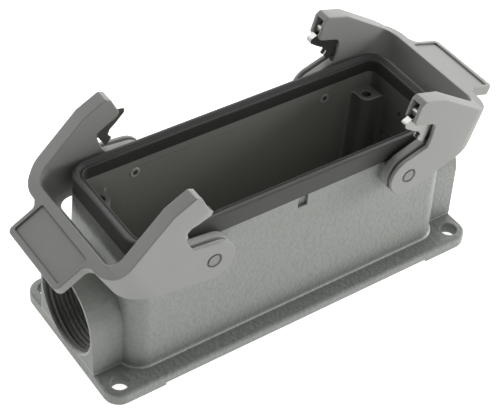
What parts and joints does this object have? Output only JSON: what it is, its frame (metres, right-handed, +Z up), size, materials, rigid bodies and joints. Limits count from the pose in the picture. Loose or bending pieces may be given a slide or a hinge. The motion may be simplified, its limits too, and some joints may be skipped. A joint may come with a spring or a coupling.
{
  "type": "heavy duty rectangular connector housing",
  "caption": "Surface-mounting die-cast housing of a rectangular connector with threaded cable entry, rim seal and forked locking levers.",
  "frame": {"origin": "under the middle of the housing, on the plane of its feet, at the centre of the four mounting holes", "axes": "+X along the housing away from the threaded cable entry, +Y across it, +Z up out of the cavity"},
  "size_m": [0.165, 0.0568, 0.0755],
  "materials": {
    "housing_coat": "hammer-textured grey powder coat on a die casting",
    "lever_plastic": "smooth semi-matt moulded grey",
    "seal_rubber": "matt black",
    "stainless": "bright stamped stainless",
    "pin_steel": "coated steel, riveted"
  },
  "bodies": {
    "housing_body": {"housing": "housing_coat", "rim_seal": "seal_rubber", "pivot_pin_left_near": "pin_steel", "pivot_pin_left_far": "pin_steel", "pivot_pin_right_near": "pin_steel", "pivot_pin_right_far": "pin_steel"},
    "lever_left_body": {"lever_left": "lever_plastic", "catch_left_near": "stainless", "catch_left_far": "stainless", "leaf_spring_left_near": "stainless", "leaf_spring_left_far": "stainless"},
    "lever_right_body": {"lever_right": "lever_plastic", "catch_right_near": "stainless", "catch_right_far": "stainless", "leaf_spring_right_near": "stainless", "leaf_spring_right_far": "stainless"}
  },
  "joints": [
    {"name": "lever_left_hinge", "type": "hinge", "parent": "housing_body", "child": "lever_left_body", "pos_m": [-0.03702, 0, 0.04612], "axis": [0, 1, 0], "range_deg": [0, 29]},
    {"name": "lever_right_hinge", "type": "hinge", "parent": "housing_body", "child": "lever_right_body", "pos_m": [0.03702, 0, 0.04612], "axis": [0, -1, 0], "range_deg": [-12, 17]}
  ]
}
